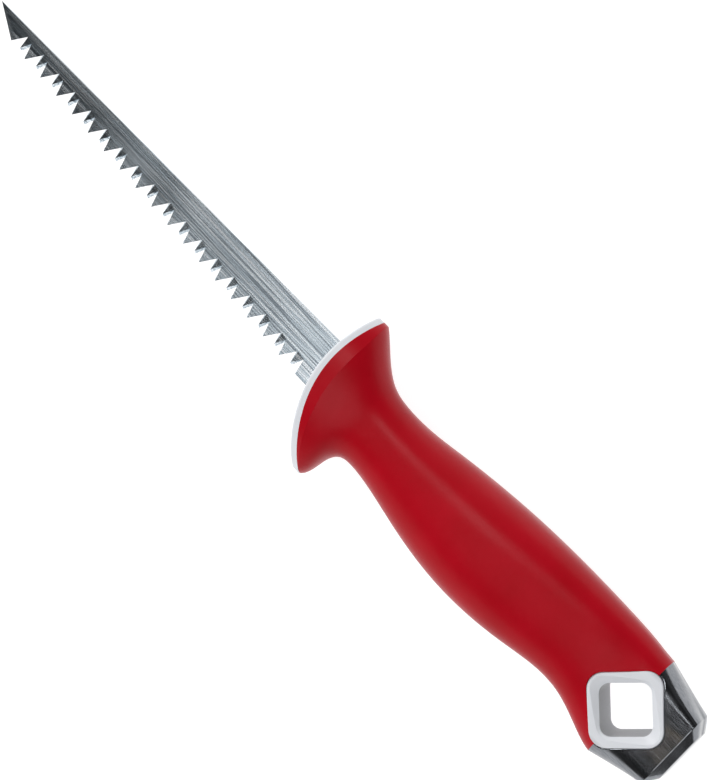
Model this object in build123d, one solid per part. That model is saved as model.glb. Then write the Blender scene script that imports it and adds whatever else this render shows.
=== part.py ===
from build123d import *
import math
import os

# Drywall jab saw, in millimetres.
#
# The pieces are worked out in construction axes: +X runs from the front of the guard to the butt,
# +Y to the blade's spine side, +Z out of one broad side, with z = 0 on the blade's mid-plane.
# At the end they all shift together, so that the saw lies on its broad side on the plane z = 0.

# ---- Driving dimensions ----------------------------------------------------------------------

# Blade
blade_length = 154.1        # front of the guard to the plunge tip
blade_thickness = 1.3
spine_offset = 12.25        # spine above the handle's axis, at the guard
spine_taper = 1.43          # degrees
tooth_line_offset = 5.6     # tips of the long teeth below the axis, at the guard
tooth_line_taper = 2.7      # degrees
nominal_pair_pitch = 7.7    # one short and one long tooth
heel_length = 6.2           # guard to the last short tooth's tip
plunge_length = 15.6        # plunge tip to the first short tooth's tip
plunge_edge_run = 11.1      # how far the slanted plunge edge runs along the blade
plunge_edge_rise = 0.6      # its lower point, above the tooth line
plunge_bevel = 2.0
plunge_land = 0.15
short_lead = 1.3            # gullet to short tip, along the blade
short_trail = 1.8           # short tip to gullet
long_lead = 1.15
deep_gullet = 5.6           # gullet behind a long tooth, above the tooth line
shallow_gullet = 5.1        # gullet behind a short tooth
short_tooth_drop = 0.55     # short tips stop this far above the tooth line
tooth_set = 0.4             # sideways bend of a tip
tooth_bevel = 0.75          # width of the ground bevel
tip_shortening = 0.9        # rise of a tip's ground edge, for each mm of bevel
heel_step = 1.2             # last gullet to the heel's corner

# Tang and the cross-pins that lock it
tang_shoulder = 11.0        # the full blade height runs this far into the guard
tang_length = 111.0         # guard to the tang's end
tang_top = 7.5              # above the axis, behind the shoulder
tang_end_height = 9.0
tang_gap = 0.05
pin_diameter = 4.0
pin_gap = 0.05
pin_places = (45.0, 83.0)
pin_end_gap = 0.4           # pin ends below the core's surface

# Guard
guard_radius = 40.0         # at the foremost point of the guard's front, seen on the broad side
guard_centre_y = 11.5       # height of that point
guard_dome_radius = 125.0   # curve of the guard's front, seen from the spine
guard_plate = 2.1           # bare band of the core at the front
guard_half_height = 26.6
guard_half_thickness = 16.0
guard_slant = 13.4          # the rim's lower end lies this far behind its upper end
rim_x = 6.8                 # where the upper rim turns down towards the neck
rim_spare = 0.8             # room that the flare leaves round the rim, before it is trimmed
rim_leads = (14.0, 7.0)     # how far ahead of the rim its two straight sections stand
guard_squareness = 2.1      # exponent of the oval sections; 2 is an ellipse
guard_edge_round = 0.8

# Grip: outline above and below the axis, and half thickness, at its three main places
grip_skin = 3.0             # rubber over the core
neck_x = 29.9
neck_top = 13.2
neck_bottom = -12.35
neck_half_thickness = 11.8
neck_squareness = 2.2
belly_x = 76.9
belly_top = 18.5
belly_bottom = -18.4
belly_half_thickness = 16.0
belly_squareness = 2.3
waist_x = 126.0
waist_top = 20.3
waist_bottom = -13.8
waist_half_thickness = 12.4
waist_squareness = 2.5

# Butt: the cap has its own axes, turned a little towards the spine
joint_x = 146.0             # centre of the hang hole, on the joint between grip and cap
joint_y = -0.2
butt_turn = 2.3             # degrees
butt_half_height = 19.5
butt_half_thickness = 11.0
butt_squareness = 2.8
grip_overrun = 4.0          # last section past the joint, cut away there
cap_length = 22.3
cap_upper_taper = 17.4      # degrees, on the spine's side
cap_lower_taper = 15.1
cap_face_taper = 1.6        # degrees
cap_end_squareness = 6.0
cap_wall = 1.8
cap_end_wall = 3.6
cap_end_half_height = 9.2
cap_band_length = 3.0       # slanted band all round, between the sides and the end face
cap_band_drop = 2.2
cap_edge_round = 0.3
cap_ridge_radius = 0.7      # inner ridge that snaps into the tongue
cap_ridge_x = 8.0
cap_ridge_length = 9.0
tongue_gap = 0.1

# Hang hole and its sleeve, a rounded square standing on its corner
hole_side = 17.0
hole_corner = 3.5
sleeve_wall = 1.6
flange_side = 24.2
flange_corner = 5.4
flange_proud = 0.3
flange_crown_radius = 65.0
flange_rim = 1.0            # rim round the dished face
flange_dish = 1.4           # depth of the dish
flange_thickness = 3.4      # seat to the top of the crown
flange_edge_round = 0.4
sleeve_gap = 0.1
sleeve_split = -5.5         # where the two halves meet on the hole's wall
spigot_length = 2.5
spigot_wall = 0.8

SECTION_POINTS = 20
DOME_HALF_TURN = 15         # degrees of the dome's revolve to each side, past the guard's thickness
FAR = 60.0                  # reach of a cutter past anything it cuts


# ---- Shared shapes ---------------------------------------------------------------------------

def between(start, end, share):
    return start + (end - start) * share


def butt_axes():
    turn = math.radians(butt_turn)
    return Plane(origin=(joint_x, joint_y, 0), x_dir=(math.cos(turn), math.sin(turn), 0), z_dir=(0, 0, 1))


def at_butt(shape):
    return butt_axes().location * shape


def oval(top, bottom, half_thickness, squareness):
    """A closed superellipse whose long axis runs from one outline point to the other."""
    centre = (top + bottom) * 0.5
    half = (top - bottom) * 0.5
    points = []
    for step in range(SECTION_POINTS):
        angle = 2 * math.pi * step / SECTION_POINTS
        along = math.copysign(abs(math.cos(angle)) ** (2 / squareness), math.cos(angle))
        out = math.copysign(abs(math.sin(angle)) ** (2 / squareness), math.sin(angle))
        points.append(centre + half * along + Vector(0, 0, half_thickness * out))
    return Wire([Spline(points, periodic=True)])


def flare_stations():
    """From ahead of the guard's rim down to the neck, as shares of the way from rim to neck.

    Ahead of the rim the form stands rim_spare proud, for rim_limit to trim.
    """
    stations = []
    for ahead in rim_leads:
        top = Vector(rim_x - ahead, guard_half_height + rim_spare)
        bottom = Vector(rim_x - ahead + guard_slant, -guard_half_height - rim_spare)
        stations.append((top, bottom, guard_half_thickness + rim_spare, guard_squareness))
    shares = (
        # top x, top y, bottom x, bottom y, half thickness
        (0.0, 0.0, 0.0, 0.0, 0.36),
        (0.17, 0.25, 0.2, 0.22, 0.57),
        (0.4, 0.6, 0.3, 0.6, 0.76),
        (0.67, 0.89, 0.53, 0.905, 0.95),
    )
    for top_x, top_y, bottom_x, bottom_y, thinning in shares:
        top = Vector(between(rim_x, neck_x, top_x), between(guard_half_height, neck_top, top_y))
        bottom = Vector(
            between(rim_x + guard_slant, neck_x, bottom_x),
            between(-guard_half_height, neck_bottom, bottom_y),
        )
        half_thickness = between(guard_half_thickness, neck_half_thickness, thinning)
        stations.append((top, bottom, half_thickness, guard_squareness))
    return stations


def grip_stations():
    """Neck, belly and waist with one section between each, then the joint and just past it."""
    butt = butt_axes()
    joint_top = butt.from_local_coords(Vector(0, butt_half_height, 0))
    joint_bottom = butt.from_local_coords(Vector(0, -butt_half_height, 0))
    past = butt.x_dir * grip_overrun
    neck = section_place(neck_x, neck_top, neck_bottom, neck_half_thickness, neck_squareness)
    belly = section_place(belly_x, belly_top, belly_bottom, belly_half_thickness, belly_squareness)
    waist = section_place(waist_x, waist_top, waist_bottom, waist_half_thickness, waist_squareness)
    joint = (joint_top, joint_bottom, butt_half_thickness, butt_squareness)
    return [
        neck,
        middle(neck, belly, 0.45, 0.36, 0.52, 0.48),
        belly,
        middle(belly, waist, 0.52, 0.88, 0.5, 0.4),
        waist,
        middle(waist, joint, 0.52, 0.3, 0.53, 0.86),
        joint,
        (joint_top + past, joint_bottom + past, butt_half_thickness, butt_squareness),
    ]


def section_place(x, top, bottom, half_thickness, squareness):
    return (Vector(x, top), Vector(x, bottom), half_thickness, squareness)


def middle(start, end, along, rise, fall, thickening):
    """A section between two others; rise and fall are the shares its two outlines have moved."""
    top = Vector(between(start[0].X, end[0].X, along), between(start[0].Y, end[0].Y, rise))
    bottom = Vector(between(start[1].X, end[1].X, along), between(start[1].Y, end[1].Y, fall))
    return (top, bottom, between(start[2], end[2], thickening), between(start[3], end[3], 0.5))


def handle_envelope(inset):
    """The handle's outer form, from ahead of the guard to past the joint, drawn in by inset."""
    sections = []
    for top, bottom, half_thickness, squareness in flare_stations() + grip_stations():
        reach = (top - bottom).normalized() * inset
        sections.append(oval(top - reach, bottom + reach, half_thickness - inset, squareness))
    return Solid.make_loft(sections) & rim_limit()


def rim_limit():
    """The guard's straight oval rim, with free room behind the neck."""
    rim = Plane.YZ * Ellipse(guard_half_height, guard_half_thickness)
    ahead = Pos(-FAR, 0, 0) * extrude(rim, FAR + neck_x)
    behind = Box(4 * FAR, 2 * FAR, 2 * FAR, align=(Align.MIN, Align.CENTER, Align.CENTER))
    return ahead + Pos(neck_x, 0, 0) * behind


def cap_side_y(x, side):
    """Outline of the cap's narrow side, above the butt's axis for side 1 and below it for -1."""
    taper = cap_upper_taper if side > 0 else cap_lower_taper
    return side * (butt_half_height - x * math.tan(math.radians(taper)))


def cap_half_thickness(x):
    return butt_half_thickness - x * math.tan(math.radians(cap_face_taper))


def cap_section(x, inset, squareness):
    top = Vector(x, cap_side_y(x, 1) - inset)
    bottom = Vector(x, cap_side_y(x, -1) + inset)
    return oval(top, bottom, cap_half_thickness(x) - inset, squareness)


def cap_envelope(inset, length):
    """The cap's tapered form, in the butt's axes, drawn in by inset and cut square at length."""
    start = cap_section(0, inset, butt_squareness)
    return Solid.make_loft([start, cap_section(length, inset, cap_end_squareness)], ruled=True)


def ahead_of_guard(depth):
    """Everything in front of the guard's domed front, or of the same surface set back by depth.

    Seen on the broad side the front is a parabola.
    """
    fall = FAR ** 2 / (2 * (guard_radius - depth))
    upper = (depth + fall, guard_centre_y + FAR)
    lower = (depth + fall, guard_centre_y - FAR)
    front = Bezier(upper, (depth - fall, guard_centre_y), lower)
    rest = Polyline(lower, (-FAR, guard_centre_y - FAR), (-FAR, guard_centre_y + FAR), upper)
    profile = Face(Wire([front] + rest.edges()))
    axis = Axis((guard_dome_radius, 0, 0), (0, 1, 0))
    return revolve(profile.rotate(axis, -DOME_HALF_TURN), axis, 2 * DOME_HALF_TURN)


def is_front_rim(edge):
    """True for the edge of the guard's domed front."""
    middle_point = edge @ 0.5
    profile_x = (middle_point.Y - guard_centre_y) ** 2 / (2 * guard_radius)
    front_x = guard_dome_radius - math.sqrt((guard_dome_radius - profile_x) ** 2 - middle_point.Z ** 2)
    return abs(middle_point.X - front_x) < guard_edge_round / 10


def behind_joint():
    return at_butt(Box(2 * FAR, 2 * FAR, 2 * FAR, align=(Align.MIN, Align.CENTER, Align.CENTER)))


def diamond(side, corner, low, high):
    """A rounded square prism standing on its corner, in the butt's axes."""
    outline = Rot(0, 0, 45) * RectangleRounded(side, side, corner)
    return Pos(0, 0, low) * extrude(outline, high - low)


def flange_top():
    return butt_half_thickness + flange_proud


def flange_seat():
    return flange_top() - flange_thickness


def tube_side():
    return hole_side + 2 * sleeve_wall


def sleeve_pocket():
    """The room that the two sleeve halves take, with their clearance."""
    wide = flange_side + 2 * sleeve_gap
    narrow = tube_side() + 2 * sleeve_gap
    upper = diamond(wide, flange_corner + sleeve_gap, flange_seat(), FAR)
    lower = diamond(wide, flange_corner + sleeve_gap, -FAR, -flange_seat())
    through = diamond(narrow, hole_corner + sleeve_wall + sleeve_gap, -FAR, FAR)
    return at_butt(upper + lower + through)


# ---- Blade -----------------------------------------------------------------------------------

def spine_y(x):
    return spine_offset + x * math.tan(math.radians(spine_taper))


def tooth_line_y(x):
    return -tooth_line_offset - x * math.tan(math.radians(tooth_line_taper))


def edge_points():
    """The toothed edge from the plunge tip to the guard, as (kind, front point, back point).

    A gullet is ground at a slant, so its bottom lies nearer the tip on the face that shows the
    bevel: the front face behind a short tooth, the back face behind a long one. The tips are
    bent away from the bevelled face.
    """
    run = blade_length - plunge_length - heel_length
    pairs = max(1, round(run / nominal_pair_pitch))
    pitch = run / pairs
    long_trail = pitch - short_lead - short_trail - long_lead
    half = blade_thickness / 2
    first_short = -blade_length + plunge_length
    first_gullet = first_short - short_lead
    plunge_x = -blade_length + plunge_edge_run
    points = [
        edge_point("body", -blade_length, spine_y(-blade_length), half),
        edge_point("body", plunge_x, tooth_line_y(plunge_x) + plunge_edge_rise, half),
        edge_point("body", first_gullet, gullet_y(first_gullet, deep_gullet), half),
    ]
    for pair in range(pairs + 1):
        short_x = first_short + pair * pitch
        short_y = tooth_line_y(short_x) + short_tooth_drop
        short_tip = edge_point("tip", short_x, short_y, half, front_shift=tooth_bevel, bend=-tooth_set)
        points.append(short_tip)
        shallow_x = short_x + short_trail
        shallow_y = gullet_y(shallow_x, shallow_gullet)
        if pair == pairs:
            points.append(edge_point("body", shallow_x, shallow_y, half))
            break
        points.append(edge_point("body", shallow_x, shallow_y, half, front_shift=tooth_bevel))
        long_x = shallow_x + long_lead
        long_y = tooth_line_y(long_x)
        points.append(edge_point("tip", long_x, long_y, half, back_shift=tooth_bevel, bend=tooth_set))
        deep_x = long_x + long_trail
        deep_y = gullet_y(deep_x, deep_gullet)
        points.append(edge_point("body", deep_x, deep_y, half, back_shift=tooth_bevel))
    heel_x = shallow_x + heel_step
    points.append(edge_point("body", heel_x, tooth_line_y(heel_x), half))
    points.append(edge_point("body", guard_plate, tooth_line_y(heel_x), half))
    points.append(edge_point("body", guard_plate, spine_y(guard_plate), half))
    return points


def gullet_y(x, depth):
    return tooth_line_y(x) + depth


def edge_point(kind, x, y, half, front_shift=0.0, back_shift=0.0, bend=0.0):
    """A ground tip loses a little height on the face where its bevel is."""
    shortening = tip_shortening if kind == "tip" else 0.0
    front = Vector(x - front_shift, y + front_shift * shortening, half + bend)
    back = Vector(x - back_shift, y + back_shift * shortening, -half + bend)
    return kind, front, back


def flat_face(*corners):
    return Face(Wire.make_polygon(corners, close=True))


def toothed_blade():
    """The blade outside the handle, closed from its two faces, its teeth and its edges."""
    points = edge_points()
    body = [point for point in points if point[0] == "body"]
    faces = [
        flat_face(*[front for _, front, _ in body]),
        flat_face(*[back for _, _, back in body]),
    ]
    for index, (kind, front, back) in enumerate(points):
        _, next_front, next_back = points[(index + 1) % len(points)]
        faces.append(flat_face(front, next_front, back))
        faces.append(flat_face(next_front, next_back, back))
        if kind == "tip":
            _, last_front, last_back = points[index - 1]
            faces.append(flat_face(last_front, front, next_front))
            faces.append(flat_face(last_back, back, next_back))
    return Solid(Shell(faces))


def plunge_cutters():
    """Two wedges that sharpen the slanted edge at the tip from both faces."""
    _, start, _ = edge_points()[0]
    _, end, _ = edge_points()[1]
    start = Vector(start.X, start.Y, 0)
    along = (Vector(end.X, end.Y, 0) - start).normalized()
    inward = Vector(-along.Y, along.X, 0)
    ahead = start - along * FAR
    cutters = []
    for side in (1, -1):
        land = side * plunge_land / 2
        slope = (side * blade_thickness / 2 - land) / plunge_bevel
        outside = ahead - inward * plunge_bevel
        low = outside + Vector(0, 0, land - slope * plunge_bevel)
        peak = outside + Vector(0, 0, side * FAR)
        high = ahead + inward * plunge_bevel * 2 + Vector(0, 0, land + slope * plunge_bevel * 2)
        cutters.append(extrude(flat_face(low, high, peak), 2 * FAR, along))
    return cutters


def tang(gap):
    """The tapered plate inside the handle, grown by gap on every side."""
    start = guard_plate - gap
    low_y = tooth_line_y(-heel_length + short_trail + heel_step)
    end_middle = (tang_top + low_y) / 2
    end_half = tang_end_height / 2 + gap
    outline = Polyline(
        (start, low_y - gap),
        (start, spine_y(guard_plate) + gap),
        (tang_shoulder + gap, spine_y(guard_plate) + gap),
        (tang_shoulder + gap, tang_top + gap),
        (tang_length + gap, end_middle + end_half),
        (tang_length + gap, end_middle - end_half),
        close=True,
    )
    return extrude(Face(Wire(outline.edges())), blade_thickness / 2 + gap, both=True)


def pin_row_y():
    return (tang_top + tooth_line_y(0)) / 2


def pin_cylinders(radius):
    return [Pos(x, pin_row_y(), 0) * Cylinder(radius, 2 * FAR) for x in pin_places]


def saw_blade():
    blade = toothed_blade() - plunge_cutters()
    blade += tang(0)
    return blade - pin_cylinders(pin_diameter / 2 + pin_gap)


def blade_slot():
    """The blade's way through the guard and its seat in the core."""
    mouth_low = tooth_line_y(0)
    mouth_high = spine_y(guard_plate) + tang_gap
    width = blade_thickness + 2 * tang_gap
    mouth = Box(FAR, mouth_high - mouth_low, width, align=(Align.MAX, Align.MIN, Align.CENTER))
    return Pos(guard_plate + tang_gap, mouth_low, 0) * mouth + tang(tang_gap)


def tang_pins():
    room = handle_envelope(grip_skin + pin_end_gap)
    return [pin & room for pin in pin_cylinders(pin_diameter / 2)]


# ---- Handle ----------------------------------------------------------------------------------

def handle_core():
    """Moulded core: the guard's bare front, a bar under the rubber and a tongue in the cap."""
    plate = (handle_envelope(0) & ahead_of_guard(guard_plate)) - ahead_of_guard(0)
    plate = fillet(plate.edges().filter_by(is_front_rim), guard_edge_round)
    bar = handle_envelope(grip_skin) - ahead_of_guard(guard_plate) - behind_joint()
    length = cap_length - cap_end_wall - tongue_gap
    tongue = at_butt(cap_envelope(cap_wall + tongue_gap, length))
    core = plate + bar + tongue
    grooves = cap_ridges(cap_ridge_radius + tongue_gap, cap_ridge_length + 2 * tongue_gap)
    core -= [at_butt(groove) for groove in grooves]
    core -= sleeve_pocket()
    core -= blade_slot()
    return core - pin_cylinders(pin_diameter / 2 + pin_gap)


def grip_overmould():
    """Rubber skin from the guard's plate to the cap."""
    grip = handle_envelope(0) - ahead_of_guard(guard_plate) - behind_joint()
    grip -= handle_envelope(grip_skin)
    return grip - sleeve_pocket()


# ---- Cap -------------------------------------------------------------------------------------

def cap_ridges(radius, length):
    """Half-round ridges on the inside of the cap's two narrow walls."""
    ridges = []
    for side in (1, -1):
        inner_y = cap_side_y(cap_ridge_x, side) - side * cap_wall
        ridges.append(Pos(cap_ridge_x, inner_y, 0) * Cylinder(radius, length))
    return ridges


def cap_band_start():
    return cap_length - cap_band_length


def cap_block():
    """The cap's outer form, with the slanted band at its end and the notch round the hang hole."""
    end_top = Vector(cap_length, cap_end_half_height)
    end_bottom = Vector(cap_length, -cap_end_half_height)
    end_half_thickness = cap_half_thickness(cap_band_start()) - cap_band_drop
    sections = [
        cap_section(0, 0, butt_squareness),
        cap_section(cap_band_start(), 0, cap_end_squareness),
        oval(end_top, end_bottom, end_half_thickness, cap_end_squareness),
    ]
    block = Solid.make_loft(sections, ruled=True)
    block = fillet(block.edges().filter_by(is_band_rim), cap_edge_round)
    block -= diamond(flange_side + 2 * sleeve_gap, flange_corner + sleeve_gap, -FAR, FAR)
    return fillet(block.edges().filter_by(is_notch_edge), cap_edge_round)


def is_band_rim(edge):
    """True for the closed rims at the slanted band's two ends."""
    x = edge.center().X
    return min(abs(x - cap_band_start()), abs(x - cap_length)) < cap_edge_round


def is_notch_edge(edge):
    """True where the notch meets a broad face, away from the joint and the slanted end."""
    centre = edge.center()
    reach = flange_side / math.sqrt(2)
    on_broad_face = abs(centre.Z) > cap_wall and edge.geom_type != GeomType.LINE
    return on_broad_face and cap_edge_round < centre.X < reach and abs(centre.Y) < reach


def end_cap():
    """Steel cap pressed over the tongue, with the ridges that hold it there."""
    room = cap_block() & cap_envelope(cap_wall / 2, cap_length)
    cap = cap_block() - cap_envelope(cap_wall, cap_length - cap_end_wall)
    cap += [ridge & room for ridge in cap_ridges(cap_ridge_radius, cap_ridge_length)]
    return at_butt(cap)


# ---- Hang-hole sleeve ------------------------------------------------------------------------

def flange():
    """Front flange: crowned on top, with a face that slopes in to the hole."""
    top = flange_top()
    plate = diamond(flange_side, flange_corner, flange_seat(), top + 1)
    crown = Pos(0, 0, top - flange_crown_radius) * Rot(0, 90, 0) * Cylinder(flange_crown_radius, FAR)
    plate = plate & crown
    plate = fillet(plate.edges().filter_by(is_crown_rim), flange_edge_round)
    dish_low = Rot(0, 0, 45) * RectangleRounded(hole_side, hole_side, hole_corner)
    dish_side = flange_side - 2 * flange_rim
    dish_high = Rot(0, 0, 45) * RectangleRounded(dish_side, dish_side, flange_corner - flange_rim)
    dish = loft([Pos(0, 0, top - flange_dish) * dish_low, Pos(0, 0, top) * dish_high])
    return plate - dish


def is_crown_rim(edge):
    """True for the curved edges round the top of the flange."""
    return edge.geom_type != GeomType.LINE and edge.center().Z > flange_seat() + flange_edge_round


def tube(low, high, outer_wall, inner_wall):
    """A stretch of the sleeve between two distances from the hole's wall."""
    outer = diamond(hole_side + 2 * outer_wall, hole_corner + outer_wall, low, high)
    if inner_wall == 0:
        return outer
    return outer - diamond(hole_side + 2 * inner_wall, hole_corner + inner_wall, low, high)


def hang_sleeve_front():
    """The long half: flange, tube and a thin spigot that enters the back half."""
    tube_part = tube(sleeve_split, flange_seat(), sleeve_wall, 0)
    spigot = tube(sleeve_split - spigot_length, sleeve_split, sleeve_wall, sleeve_wall - spigot_wall)
    hole = diamond(hole_side, hole_corner, -FAR, FAR)
    return at_butt(flange() + (tube_part - hole) + spigot - hole)


def hang_sleeve_back():
    """The short half: flange and a socket for the spigot."""
    tube_part = tube(-flange_seat(), sleeve_split, sleeve_wall, 0)
    socket_wall = sleeve_wall - spigot_wall - sleeve_gap
    socket_low = sleeve_split - spigot_length - sleeve_gap
    socket = tube(socket_low, sleeve_split, sleeve_wall, socket_wall)
    hole = diamond(hole_side, hole_corner, -FAR, FAR)
    back_flange = Rot(180, 0, 0) * flange()
    return at_butt(back_flange + tube_part - socket - hole)


# ---- Assembly --------------------------------------------------------------------------------

def all_pieces():
    return {
        "saw_blade": saw_blade(),
        "tang_pins": tang_pins(),
        "handle_core": handle_core(),
        "grip_overmould": grip_overmould(),
        "end_cap": end_cap(),
        "hang_sleeve_front": hang_sleeve_front(),
        "hang_sleeve_back": hang_sleeve_back(),
    }


def solids_of(piece):
    shapes = piece if isinstance(piece, list) else [piece]
    return [solid for shape in shapes for solid in shape.solids()]


os.makedirs("parts", exist_ok=True)
pieces = {name: solids_of(piece) for name, piece in all_pieces().items()}
whole = Compound([solid for solids in pieces.values() for solid in solids]).bounding_box()
shift = Pos(-whole.center().X, -whole.center().Y, -whole.min.Z)
for name, solids in pieces.items():
    export_step(Compound([shift * solid for solid in solids]), f"parts/{name}.step")
print("shift", shift.position, "size", whole.size)
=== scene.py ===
import math

import bpy
from mathutils import Euler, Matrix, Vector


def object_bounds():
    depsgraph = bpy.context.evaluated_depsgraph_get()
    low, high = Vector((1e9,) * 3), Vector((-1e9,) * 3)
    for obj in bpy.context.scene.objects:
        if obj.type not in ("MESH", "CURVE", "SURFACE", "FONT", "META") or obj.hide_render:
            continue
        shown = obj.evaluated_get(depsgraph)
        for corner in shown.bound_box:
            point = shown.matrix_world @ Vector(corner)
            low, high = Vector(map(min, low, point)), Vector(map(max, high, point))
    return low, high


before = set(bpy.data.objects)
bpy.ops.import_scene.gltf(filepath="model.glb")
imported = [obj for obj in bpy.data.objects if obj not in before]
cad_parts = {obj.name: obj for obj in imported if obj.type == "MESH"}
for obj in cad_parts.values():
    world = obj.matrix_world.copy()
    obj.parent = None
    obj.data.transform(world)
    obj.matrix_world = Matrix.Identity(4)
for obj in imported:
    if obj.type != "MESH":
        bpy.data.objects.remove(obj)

CAD_BOX = [list(corner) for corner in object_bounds()]
MM = 0.001
CAD_MIDDLE_Z = (CAD_BOX[0][2] + CAD_BOX[1][2]) / 2     # the saw lies on its broad side
# painted shade on the hang hole's wall: it starts at HOLE_SHADE_START and is full at HOLE_SHADE_FULL,
# both measured from the mid-plane
HOLE_SHADE_START = 9.9 * MM              # from the mid-plane to the lower edge of the flange's dish
HOLE_SHADE_FULL = 9.0 * MM

# ---- Camera ----------------------------------------------------------------------------------

CAMERA_PLACE = (0.20551, 0.43292, 1.9578)
CAMERA_TURN = (-4.538, 12.913, 45.496)   # degrees
CAMERA_LENS = 292.2                      # millimetres
SENSOR_HEIGHT = 36.0
CAMERA_CLIP = (0.01, 50.0)


def make_camera():
    data = bpy.data.cameras.new("camera")
    data.sensor_fit = "VERTICAL"
    data.sensor_height = SENSOR_HEIGHT
    data.lens = CAMERA_LENS
    data.clip_start, data.clip_end = CAMERA_CLIP
    camera = bpy.data.objects.new("camera", data)
    camera.location = CAMERA_PLACE
    camera.rotation_euler = Euler([math.radians(angle) for angle in CAMERA_TURN])
    bpy.context.scene.collection.objects.link(camera)
    bpy.context.scene.camera = camera


# ---- Light and floor values ------------------------------------------------------------------

FLOOR_HALF_SIDE = 8.0
FLOOR_GLOW = 0.88                        # the floor's own light, which keeps it white
HORIZON_BRIGHTNESS = 1.1
SHADED_BRIGHTNESS = 0.1                  # horizon beyond the butt on the spine's side
SHADE_SPINE_SHARE = 0.85                 # how much the spine's side adds to that shading
SHADE_START, SHADE_END = 0.2, 0.8
WORLD_TONES = ((0.0, 1.0), (0.42, 1.0), (0.58, 0.06), (1.0, 0.03))   # (height, brightness)

LIGHTS = (
    # name, place, turn in degrees, size, brightness, colour
    ("panel", (-0.105, -0.27, 1.9), (0, 0, 0), (0.16, 1.25), 3.2, (1, 1, 1)),
    ("ridge", (-0.38, 0.92, 1.88), (0, 0, 0), (0.74, 0.36), 12, (1, 1, 1)),
    ("key", (-1.6, 0, 1.6), (0, -45, 0), (0.6, 0.6), 14, (1, 1, 1)),
    ("flare", (1.15, -0.1, 1.9), (0, 0, 0), (1.1, 1.1), 3.2, (1, 1, 1)),
    ("tip_card", (-1.4, -0.9, 1.6), (0, 0, 0), (0.5, 0.5), 0.6, (1, 1, 1)),
    ("warm_card", (0.25, -0.33, 1.9), (0, 0, 0), (0.4, 0.1), 0.5, (1.0, 0.75, 0.45)),
)


# ---- Node helpers ----------------------------------------------------------------------------

class Tree:
    """A material's node tree with short ways to add and join nodes."""

    def __init__(self, name):
        self.material = bpy.data.materials.new(name)
        self.material.use_nodes = True
        self.tree = self.material.node_tree
        self.shader = self.tree.nodes["Principled BSDF"]

    def node(self, kind, inputs=None, **settings):
        made = self.tree.nodes.new(kind)
        for key, value in settings.items():
            setattr(made, key, value)
        for key, value in (inputs or {}).items():
            self.set(made.inputs[key], value)
        return made

    def set(self, socket, value):
        if isinstance(value, bpy.types.NodeSocket):
            self.tree.links.new(value, socket)
        else:
            socket.default_value = value

    def place(self, scale=(1, 1, 1)):
        """Object coordinates in metres, times scale."""
        coordinates = self.node("ShaderNodeTexCoord").outputs["Object"]
        return self.node("ShaderNodeMapping", {"Vector": coordinates, "Scale": scale}).outputs["Vector"]

    def noise(self, vector, scale, detail=3.0, roughness=0.5):
        inputs = {"Vector": vector, "Scale": scale, "Detail": detail, "Roughness": roughness}
        return self.node("ShaderNodeTexNoise", inputs).outputs["Fac"]

    def ramp(self, value, *stops):
        """Colour ramp from (position, colour) stops."""
        made = self.node("ShaderNodeValToRGB", {"Fac": value})
        elements = made.color_ramp.elements
        while len(elements) < len(stops):
            elements.new(1.0)
        for element, (position, colour) in zip(elements, stops):
            element.position = position
            element.color = (*colour, 1.0)
        return made.outputs["Color"]

    def remap(self, value, low, high, to_low=0.0, to_high=1.0):
        inputs = {"Value": value, "From Min": low, "From Max": high, "To Min": to_low, "To Max": to_high}
        return self.node("ShaderNodeMapRange", inputs).outputs["Result"]

    def maths(self, operation, first, second=0.0):
        """One of Blender's Math operations."""
        made = self.node("ShaderNodeMath", operation=operation)
        self.set(made.inputs[0], first)
        self.set(made.inputs[1], second)
        return made.outputs[0]

    def mix(self, share, tone, colour):
        """The tone, giving way to a plain colour as share goes from 0 to 1."""
        made = self.node("ShaderNodeMix", data_type="RGBA")
        self.set(made.inputs["Factor"], share)
        self.set(made.inputs["A"], tone)
        self.set(made.inputs["B"], (*colour, 1.0))
        return made.outputs["Result"]

    def bump(self, height, distance, strength):
        inputs = {"Height": height, "Distance": distance, "Strength": strength}
        return self.node("ShaderNodeBump", inputs).outputs["Normal"]

    def finish(self, **sockets):
        """Set the shader's inputs, whose names have a line where the name has a space."""
        for name, value in sockets.items():
            self.set(self.shader.inputs[name.replace("_", " ")], value)
        return self.material


# ---- Materials -------------------------------------------------------------------------------

def blade_steel():
    """Steel brushed lengthwise, with light and dark scratches."""
    tree = Tree("blade_steel")
    streaks = tree.noise(tree.place((9, 1300, 1300)), 1.0, 4.0, 0.6)
    scratches = tree.noise(tree.place((30, 2000, 2000)), 1.0, 2.0, 0.6)
    clouds = tree.noise(tree.place(), 40.0, 2.0)
    tone = tree.ramp(streaks, (0.3, (0.41, 0.48, 0.53)), (0.7, (0.57, 0.65, 0.71)))
    tone = tree.mix(tree.remap(scratches, 0.5, 0.62, 0.0, 0.75), tone, (0.84, 0.87, 0.90))
    tone = tree.mix(tree.remap(scratches, 0.47, 0.38, 0.0, 0.75), tone, (0.16, 0.19, 0.22))
    brushed = tree.remap(streaks, 0.3, 0.7, 0.16, 0.26)
    rough = tree.maths("ADD", brushed, tree.remap(clouds, 0.3, 0.7, -0.03, 0.04))
    normal = tree.bump(scratches, 0.01 * MM, 0.35)
    return tree.finish(Base_Color=tone, Metallic=1.0, Roughness=rough, Normal=normal)


def pin_steel():
    """Plain turned steel."""
    tree = Tree("pin_steel")
    turned = tree.noise(tree.place((900, 900, 3000)), 1.0, 2.0)
    tone = tree.ramp(turned, (0.3, (0.4, 0.4, 0.41)), (0.7, (0.55, 0.55, 0.56)))
    rough = tree.remap(turned, 0.3, 0.7, 0.3, 0.45)
    return tree.finish(Base_Color=tone, Metallic=1.0, Roughness=rough)


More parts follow.
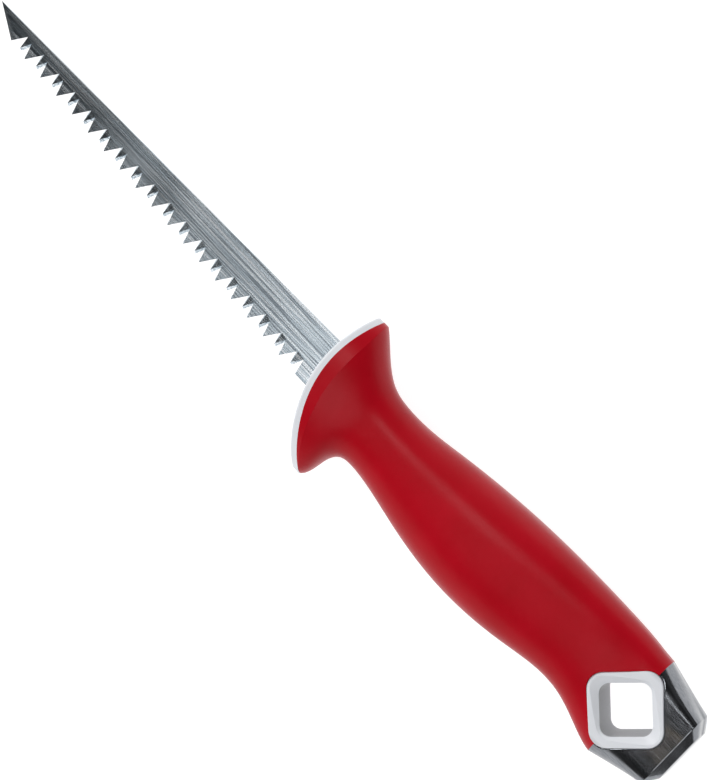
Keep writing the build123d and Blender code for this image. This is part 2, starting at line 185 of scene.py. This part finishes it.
def grip_rubber():
    """Red moulded rubber with a fine matte grain."""
    tree = Tree("grip_rubber")
    grain = tree.noise(tree.place(), 2600.0, 3.0, 0.6)
    clouds = tree.noise(tree.place(), 60.0, 3.0)
    tone = tree.ramp(clouds, (0.3, (0.42, 0.002, 0.009)), (0.7, (0.48, 0.003, 0.013)))
    tone = tree.mix(tree.remap(grain, 0.3, 0.7, 0.0, 0.25), tone, (0.36, 0.001, 0.007))
    rough = tree.remap(grain, 0.3, 0.7, 0.28, 0.37)
    normal = tree.bump(grain, 0.07 * MM, 0.6)
    tree.shader.inputs["Specular IOR Level"].default_value = 0.13
    return tree.finish(Base_Color=tone, Roughness=rough, Normal=normal)


def grey_plastic(name, hole_shade):
    """Light grey moulded plastic with faint flow marks.

    The hang hole's wall gets painted shade, as strong as hole_shade, which is 0 for a piece with no such
    wall.
    """
    tree = Tree(name)
    grain = tree.noise(tree.place(), 3000.0, 2.0)
    flow = tree.noise(tree.place((60, 60, 200)), 1.0, 3.0)
    tone = tree.ramp(flow, (0.3, (0.76, 0.78, 0.82)), (0.7, (0.81, 0.83, 0.87)))
    # painted shade: the hang hole's wall is darker towards the saw's mid-plane
    height = tree.node("ShaderNodeSeparateXYZ", {"Vector": tree.place()}).outputs["Z"]
    from_middle = tree.maths("ABSOLUTE", tree.maths("SUBTRACT", height, CAD_MIDDLE_Z))
    painted_shade_share = tree.remap(from_middle, HOLE_SHADE_START, HOLE_SHADE_FULL, 0.0, hole_shade)
    tone = tree.mix(painted_shade_share, tone, (0.12, 0.12, 0.14))
    rough = tree.remap(grain, 0.3, 0.7, 0.36, 0.46)
    normal = tree.bump(grain, 0.03 * MM, 0.25)
    return tree.finish(Base_Color=tone, Roughness=rough, Normal=normal)


def cap_steel():
    """Polished steel with a fine lengthwise grain."""
    tree = Tree("cap_steel")
    grain = tree.noise(tree.place((120, 3800, 3800)), 1.0, 3.0, 0.55)
    clouds = tree.noise(tree.place(), 90.0, 2.0)
    tone = tree.ramp(grain, (0.3, (0.17, 0.18, 0.195)), (0.7, (0.29, 0.30, 0.32)))
    brushed = tree.remap(grain, 0.3, 0.7, 0.14, 0.2)
    rough = tree.maths("ADD", brushed, tree.remap(clouds, 0.3, 0.7, -0.02, 0.03))
    normal = tree.bump(grain, 0.01 * MM, 0.5)
    return tree.finish(Base_Color=tone, Metallic=1.0, Roughness=rough, Normal=normal)


def dress_cad_nodes():
    """Give each CAD node its material; the geometry isn't touched."""
    finishes = {
        "saw_blade": blade_steel(),
        "tang_pins": pin_steel(),
        "handle_core": grey_plastic("core_plastic", 0.0),
        "grip_overmould": grip_rubber(),
        "end_cap": cap_steel(),
        "hang_sleeve_front": grey_plastic("sleeve_plastic", 0.75),
    }
    finishes["hang_sleeve_back"] = finishes["hang_sleeve_front"]
    for name, material in finishes.items():
        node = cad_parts[name]
        node.data.materials.clear()
        node.data.materials.append(material)


# ---- Floor and light -------------------------------------------------------------------------

def make_floor():
    """A plain pale floor at the height that the saw lies on."""
    half = FLOOR_HALF_SIDE
    mesh = bpy.data.meshes.new("floor")
    corners = [(-half, -half, 0), (half, -half, 0), (half, half, 0), (-half, half, 0)]
    mesh.from_pydata(corners, [], [(0, 1, 2, 3)])
    floor = bpy.data.objects.new("floor", mesh)
    bpy.context.scene.collection.objects.link(floor)
    tree = Tree("floor_paper")
    fibres = tree.noise(tree.place(), 400.0, 3.0)
    tone = tree.ramp(fibres, (0.3, (0.34, 0.34, 0.34)), (0.7, (0.36, 0.36, 0.36)))
    tree.finish(Base_Color=tone, Roughness=0.9)
    tree.finish(Emission_Color=(1, 1, 1, 1), Emission_Strength=FLOOR_GLOW)
    mesh.materials.append(tree.material)


def make_light(name, place, turn, size, brightness, colour):
    """A rectangular soft light; turned by (0, 0, 0) degrees it faces straight down."""
    data = bpy.data.lights.new(name, "AREA")
    data.shape = "RECTANGLE"
    data.size, data.size_y = size
    data.energy = brightness * math.pi * size[0] * size[1]
    data.color = colour
    light = bpy.data.objects.new(name, data)
    light.location = place
    light.rotation_euler = Euler([math.radians(angle) for angle in turn])
    bpy.context.scene.collection.objects.link(light)


def make_world():
    """A studio that is bright round the horizon, but not past the butt, and dark overhead."""
    world = bpy.data.worlds.new("studio")
    bpy.context.scene.world = world
    world.use_nodes = True
    nodes, links = world.node_tree.nodes, world.node_tree.links
    background = nodes["Background"]
    direction = nodes.new("ShaderNodeTexCoord").outputs["Generated"]
    split = nodes.new("ShaderNodeSeparateXYZ")
    links.new(direction, split.inputs[0])

    ramp = nodes.new("ShaderNodeValToRGB")
    links.new(split.outputs["Z"], ramp.inputs["Fac"])
    elements = ramp.color_ramp.elements
    while len(elements) < len(WORLD_TONES):
        elements.new(1.0)
    for element, (position, value) in zip(elements, WORLD_TONES):
        element.position = position
        element.color = (value, value, value, 1.0)
    links.new(ramp.outputs["Color"], background.inputs["Color"])

    heading = nodes.new("ShaderNodeMath")
    heading.operation = "MULTIPLY_ADD"
    links.new(split.outputs["Y"], heading.inputs[0])
    heading.inputs[1].default_value = SHADE_SPINE_SHARE
    links.new(split.outputs["X"], heading.inputs[2])
    fall = nodes.new("ShaderNodeMapRange")
    links.new(heading.outputs[0], fall.inputs["Value"])
    fall.inputs["From Min"].default_value = SHADE_START
    fall.inputs["From Max"].default_value = SHADE_END
    fall.inputs["To Min"].default_value = HORIZON_BRIGHTNESS
    fall.inputs["To Max"].default_value = SHADED_BRIGHTNESS
    links.new(fall.outputs["Result"], background.inputs["Strength"])


def make_stage():
    make_floor()
    make_world()
    for light in LIGHTS:
        make_light(*light)


make_camera()
dress_cad_nodes()
make_stage()
bpy.context.scene.view_settings.view_transform = "Standard"
